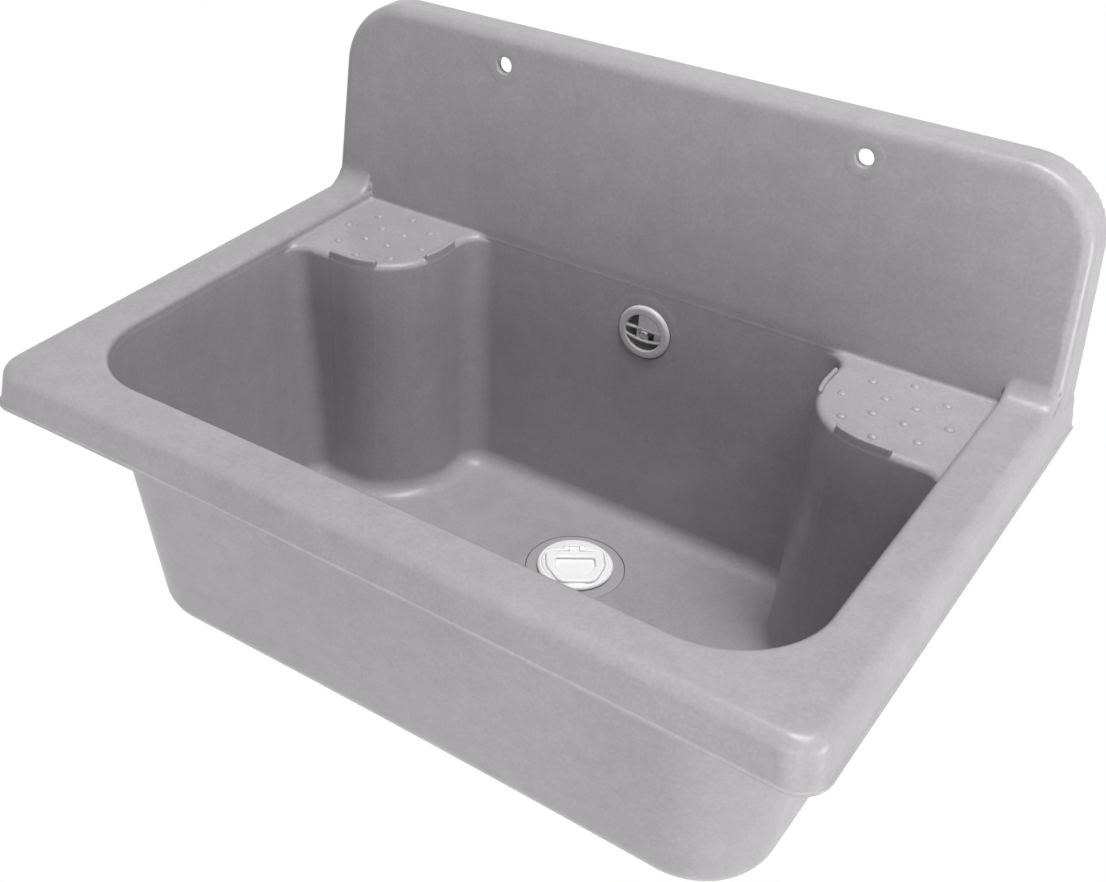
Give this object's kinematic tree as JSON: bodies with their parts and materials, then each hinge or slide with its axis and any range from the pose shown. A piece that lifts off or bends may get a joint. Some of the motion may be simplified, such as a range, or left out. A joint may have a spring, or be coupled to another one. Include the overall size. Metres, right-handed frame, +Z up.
{
  "type": "mop service sink",
  "caption": "Wall-hung mop service sink with a deep moulded basin, a high splashback, corner soap shelves, a lift-out plug with a folding loop handle, and an overflow hose.",
  "frame": {"origin": "on the wall plane, in the middle of the rear top edge of the splashback", "axes": "+X to the right seen from the front, +Y from the front into the wall, +Z up"},
  "size_m": [0.607, 0.4045, 0.44],
  "materials": {
    "moulding": "satin, faintly mottled stone grey",
    "grey_plastic": "satin grey",
    "white_plastic": "satin white",
    "plug_plastic": "glossy white",
    "hose_plastic": "matt, ribbed",
    "rubber": "matt black",
    "steel": "plain",
    "brass": "turned"
  },
  "bodies": {
    "sink": {"sink_moulding": "moulding", "drain_flange": "grey_plastic", "flange_gasket": "rubber", "body_gasket": "rubber", "waste_body": "white_plastic", "waste_insert": "brass", "flange_screw": "steel", "overflow_rosette": "grey_plastic", "overflow_screw": "steel", "overflow_gasket": "rubber", "overflow_elbow": "white_plastic", "overflow_insert": "brass", "overflow_hose": "hose_plastic", "hose_nut_upper": "white_plastic", "hose_nut_lower": "white_plastic", "hose_seal_upper": "rubber", "hose_seal_lower": "rubber"},
    "plug": {"plug_cap": "plug_plastic", "plug_seal": "rubber"},
    "handle": {"plug_handle": "plug_plastic"}
  },
  "joints": [
    {"name": "plug_lift", "type": "slide", "parent": "sink", "child": "plug", "axis": [0, 0, 1], "range_m": [0, 0.08]},
    {"name": "handle_fold", "type": "hinge", "parent": "plug", "child": "handle", "pos_m": [-0.00918, -0.10489, -0.3635], "axis": [-0.8192, -0.5736, 0], "range_deg": [0, 100]}
  ]
}
